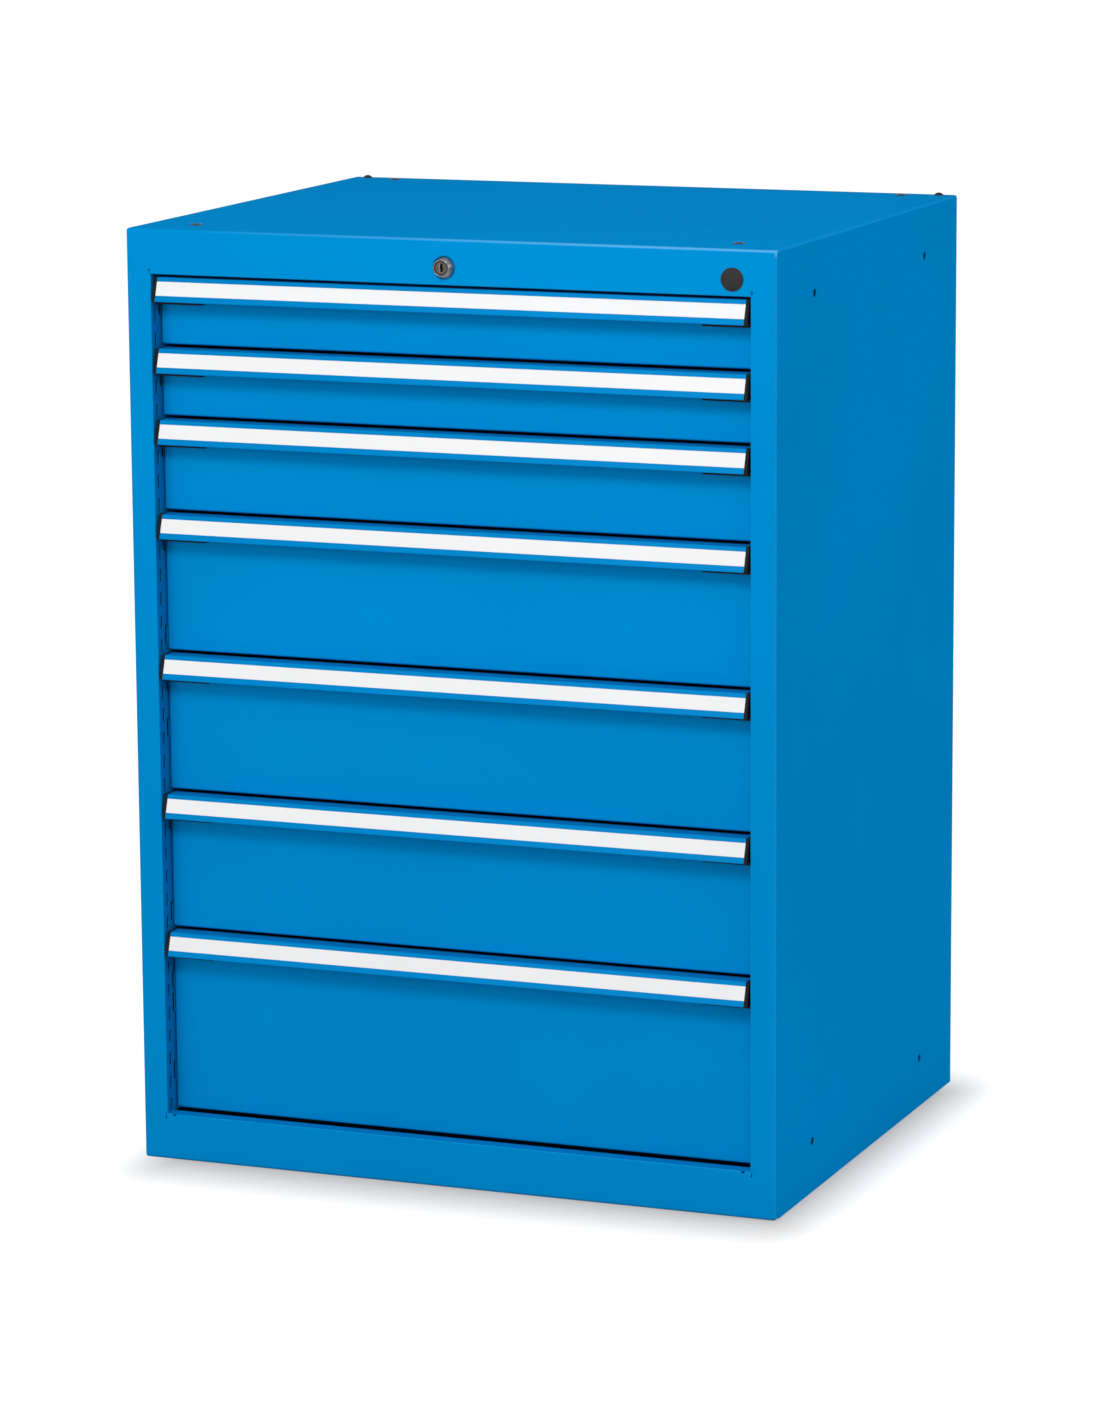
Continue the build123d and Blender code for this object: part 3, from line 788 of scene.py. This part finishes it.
def keyway_outline():
    """The warded keyway as (x, z) points: one half, and the same half turned upside down."""
    ward = KEYWAY_HALF_WIDTH + WARD_WIDTH
    half = [
        (-KEYWAY_HALF_WIDTH, -KEYWAY_HALF_HEIGHT),
        (KEYWAY_HALF_WIDTH, -KEYWAY_HALF_HEIGHT),
        (KEYWAY_HALF_WIDTH, -WARD_LENGTH),
        (ward, WARD_SLOPE - WARD_LENGTH),
        (ward, 0),
        (KEYWAY_HALF_WIDTH, WARD_SLOPE),
    ]
    return half + [(-x, -z) for x, z in half]


def sign(value):
    """1, 0 or -1."""
    return (value > 0) - (value < 0)


def widened(outline, margin):
    """The outline with each point moved away from the middle along both axes."""
    return [(x + sign(x) * margin, z + sign(z) * margin) for x, z in outline]


def outline_at(mesh, origin, outline, along):
    """Points of an (x, z) outline at a distance behind an origin."""
    return [mesh.verts.new(origin + Vector((x, along, z))) for x, z in outline]


def ring_edges(mesh, ring):
    """The edges that join the points of a ring."""
    return [mesh.edges.get(pair) for pair in zip(ring, ring[1:] + ring[:1])]


def add_keyway(plug, face):
    """A keyway with a shelf for its rim; returns the points of its mouth."""
    keyway = keyway_outline()
    mouth_outline = widened(keyway, KEYWAY_BEVEL)
    mouth = outline_at(plug, face, mouth_outline, 0)
    shelf = outline_at(plug, face, mouth_outline, KEYWAY_BEVEL)
    throat = outline_at(plug, face, keyway, KEYWAY_BEVEL)
    end = outline_at(plug, face, keyway, KEYWAY_DEPTH)
    bridge(plug, mouth, shelf)
    bridge(plug, shelf, throat)
    bridge(plug, throat, end)
    plug.faces.new(end)
    return mouth


def make_lock_plug():
    """The lock's turning plug with its keyway, the keyway's rim and a square tail."""
    low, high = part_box("lock_plug")
    radius = (high.x - low.x) / 2
    face = Vector((lock_centre.x, low.y, lock_centre.z))
    plug = bmesh.new()
    face_ring = ring_of(plug, face, BACKWARD, radius - PLUG_BEVEL, 0)
    edge_ring = ring_of(plug, face, BACKWARD, radius, PLUG_BEVEL)
    end_ring = ring_of(plug, face, BACKWARD, radius, barrel_length)
    bridge(plug, face_ring, edge_ring)
    bridge(plug, edge_ring, end_ring)
    plug.faces.new(end_ring)
    mouth = add_keyway(plug, face)
    face_edges = ring_edges(plug, face_ring) + ring_edges(plug, mouth)
    bmesh.ops.triangle_fill(plug, use_beauty=True, edges=face_edges)
    slab(
        plug,
        (face.x - TAIL_HALF, face.y + barrel_length, face.z - TAIL_HALF),
        (face.x + TAIL_HALF, high.y, face.z + TAIL_HALF),
    )
    add_piece("lock_plug_with_keyway", plug, "lock_cylinder", "lock_core", "lock_plug")
    make_keyway_rim(face)


def make_keyway_rim(face):
    """The bright bevelled rim on the shelf of the keyway."""
    keyway = keyway_outline()
    mouth_outline = widened(keyway, KEYWAY_BEVEL)
    rim = bmesh.new()
    edge = outline_at(rim, face, mouth_outline, 0)
    seat = outline_at(rim, face, mouth_outline, KEYWAY_BEVEL)
    throat = outline_at(rim, face, keyway, KEYWAY_BEVEL)
    bridge(rim, edge, throat)
    bridge(rim, throat, seat)
    bridge(rim, seat, edge)
    add_piece("lock_keyway_rim", rim, "lock_cylinder", "polished_lock")


def make_lock():
    """The lock's barrel and face ring, which stay, and its plug, which turns."""
    nose = Vector((lock_centre.x, lock_low.y, lock_centre.z))
    make_barrel(nose)
    make_face_ring(nose)
    make_lock_plug()


def make_hole_plug():
    """A plastic plug with a low crown in the spare lock hole."""
    low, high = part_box("hole_plug")
    radius = (high.x - low.x) / 2
    length = high.y - low.y
    centre = Vector(((low.x + high.x) / 2, low.y, (low.z + high.z) / 2))
    head = carcass_low.y - low.y
    crown = []
    for step in range(CROWN_STEPS + 1):
        share = step / CROWN_STEPS
        crown.append((radius * share, (head - HOLE_PLUG_RIM) * share ** 2))
    stem = [(radius, head), (HOLE_PLUG_STEM_RADIUS, head), (HOLE_PLUG_STEM_RADIUS, length), (0, length)]
    plug = bmesh.new()
    lathe(plug, crown + stem, centre, BACKWARD, closed=False)
    add_piece("hole_plug_with_crown", plug, "cabinet", "black_plastic", "hole_plug")


def thread_profile(length):
    """Rings for the turns of a thread in a bore, as (radius, along) points between the end chamfers."""
    turns = math.floor((length - 2 * INSERT_CHAMFER) / THREAD_PITCH)
    thread = []
    for turn in range(turns):
        start = INSERT_CHAMFER + turn * THREAD_PITCH
        thread.append((INSERT_BORE_RADIUS + THREAD_DEPTH, start))
        thread.append((INSERT_BORE_RADIUS, start + THREAD_PITCH / 2))
    return thread


def make_inserts():
    """Threaded inserts: a chamfered head on the top sheet, a body, and rings for the thread in its bore."""
    low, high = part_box("top_inserts")
    length = high.z - low.z
    head = length - INSERT_HEAD_HEIGHT
    mouth_radius = INSERT_BORE_RADIUS + INSERT_CHAMFER
    outside = [
        (mouth_radius, length),
        (INSERT_HEAD_RADIUS - INSERT_HEAD_HEIGHT / 2, length),
        (INSERT_HEAD_RADIUS, length - INSERT_HEAD_HEIGHT / 2),
        (INSERT_HEAD_RADIUS, head),
        (INSERT_BODY_RADIUS, head),
        (INSERT_BODY_RADIUS, 0),
        (mouth_radius, 0),
    ]
    profile = outside + thread_profile(length)
    inserts = bmesh.new()
    for x in (low.x + INSERT_HEAD_RADIUS, high.x - INSERT_HEAD_RADIUS):
        for y in (low.y + INSERT_HEAD_RADIUS, high.y - INSERT_HEAD_RADIUS):
            lathe(inserts, profile, Vector((x, y, low.z)), UPWARD, closed=True)
    add_piece("top_inserts_with_thread", inserts, "cabinet", "insert_steel", "top_inserts")


def world_light():
    """Pale light from all round; what the camera, metal and glass see of it is white."""
    world = bpy.data.worlds.new("studio")
    world.use_nodes = True
    tree = world.node_tree
    strength = tree.nodes.new("ShaderNodeMapRange")
    strength.inputs["To Min"].default_value = SKY_STRENGTH
    strength.inputs["To Max"].default_value = SEEN_SKY_STRENGTH
    tree.links.new(seen_rays(tree), strength.inputs["Value"])
    sky = tree.nodes["Background"]
    sky.inputs["Color"].default_value = WHITE
    tree.links.new(strength.outputs["Result"], sky.inputs["Strength"])
    bpy.context.scene.world = world


def shadow_distance(finish):
    """How far a point of the floor lies from the cabinet's foot: 0 at it, 1 where its painted shadow ends.
    """
    half_sizes = [edge - abs(step) for edge, step in zip(cad_box[1], SHADOW_SHIFT)]
    from_middle = finish.changed("ABSOLUTE", finish.stretched(shift=SHADOW_SHIFT))
    from_edge = finish.changed("SUBTRACT", from_middle, half_sizes)
    outside = finish.changed("MAXIMUM", finish.changed("MULTIPLY", from_edge, LEVEL))
    return finish.length(finish.changed("DIVIDE", outside, (SHADOW_SIDE_REACH, SHADOW_FRONT_REACH, 1)))


def floor_finish():
    """Pale matt floor that turns to plain white away from the cabinet, with a painted shadow near its foot,
    where the glow is lower and warmer.
    """
    finish = Finish("studio_floor")
    cloud = finish.noise(*FLOOR_CLOUD)
    finish.feed("Base Color", finish.shaded(cloud, FLOOR_COLOUR, FLOOR_SHADES))
    finish.set(Roughness=FLOOR_ROUGHNESS, Specular_IOR_Level=0.0)
    # Painted shadow: the floor's glow is lower near the cabinet's foot and full away from it.
    glow = finish.ramp(shadow_distance(finish), FLOOR_PAINTED_SHADOW_GLOW, FLOOR_FAR_GLOW, 0, 1)
    finish.feed("Emission Color", glow)
    finish.feed("Emission Strength", seen_rays(finish.tree))
    return finish.material


def make_floor():
    """A wide flat floor under the cabinet."""
    mesh = bmesh.new()
    bmesh.ops.create_grid(mesh, x_segments=FLOOR_CELLS, y_segments=FLOOR_CELLS, size=FLOOR_HALF)
    data = bpy.data.meshes.new("studio_floor")
    mesh.to_mesh(data)
    mesh.free()
    data.materials.append(floor_finish())
    floor = bpy.data.objects.new("studio_floor", data)
    bpy.context.scene.collection.objects.link(floor)


def softbox(name, place, size, watts):
    """A square soft lamp that faces the cabinet."""
    lamp = bpy.data.lights.new(name, "AREA")
    lamp.shape = "SQUARE"
    lamp.size = size
    lamp.energy = watts
    holder = bpy.data.objects.new(name, lamp)
    holder.location = place
    holder.rotation_euler = (Vector(AIM) - Vector(place)).to_track_quat("-Z", "Y").to_euler()
    bpy.context.scene.collection.objects.link(holder)


def camera_turn():
    """The camera's turn, from its azimuth, elevation and roll."""
    level = math.cos(CAMERA_ELEVATION)
    back = Vector((
        math.sin(CAMERA_AZIMUTH) * level,
        -math.cos(CAMERA_AZIMUTH) * level,
        math.sin(CAMERA_ELEVATION),
    ))
    right = Vector((math.cos(CAMERA_AZIMUTH), math.sin(CAMERA_AZIMUTH), 0))
    up = back.cross(right)
    rolled_right = right * math.cos(CAMERA_ROLL) + up * math.sin(CAMERA_ROLL)
    rolled_up = up * math.cos(CAMERA_ROLL) - right * math.sin(CAMERA_ROLL)
    return Matrix((rolled_right, rolled_up, back)).transposed().to_4x4()


def make_camera():
    """The photograph's camera, from its place, its turn and its focal length."""
    lens = bpy.data.cameras.new("photo_camera")
    lens.sensor_width = SENSOR_MM
    lens.lens = FOCAL_PIXELS / PHOTO_HEIGHT * SENSOR_MM
    lens.clip_end = CLIP_END
    camera = bpy.data.objects.new("photo_camera", lens)
    camera.matrix_world = Matrix.Translation(CAMERA_PLACE) @ camera_turn()
    bpy.context.scene.collection.objects.link(camera)
    bpy.context.scene.camera = camera


for number in range(1, DRAWERS + 1):
    make_tray(number)
make_lock()
make_hole_plug()
make_inserts()
world_light()
make_floor()
softbox("key_softbox", KEY_PLACE, KEY_SIZE, KEY_WATTS)
softbox("side_fill_softbox", SIDE_FILL_PLACE, FILL_SIZE, SIDE_FILL_WATTS)
softbox("front_fill_softbox", FRONT_FILL_PLACE, FILL_SIZE, FRONT_FILL_WATTS)
make_camera()
bpy.context.scene.view_settings.view_transform = "Standard"
